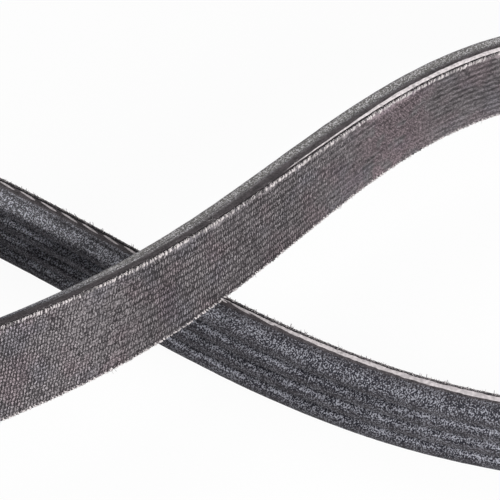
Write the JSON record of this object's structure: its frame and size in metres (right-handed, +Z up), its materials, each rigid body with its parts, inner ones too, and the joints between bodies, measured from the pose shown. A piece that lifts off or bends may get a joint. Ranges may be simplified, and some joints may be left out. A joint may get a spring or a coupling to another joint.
{
  "type": "serpentine belt",
  "caption": "Endless ribbed drive belt with a woven fabric back, standing on its cut edge in a crossed, looping lie.",
  "frame": {"origin": "middle of the footprint of the belt as it lies, on the surface that its lower cut edge rests on", "axes": "+Z up across the belt's width, +X along the chain of lobes, +Y across the lobes"},
  "size_m": [0.357, 0.091, 0.0301],
  "materials": {
    "belt_rubber": "matte dark grey rubber with fibre flock on the ribs and a woven fabric back"
  },
  "bodies": {
    "root": {"belt": "belt_rubber"}
  },
  "joints": []
}
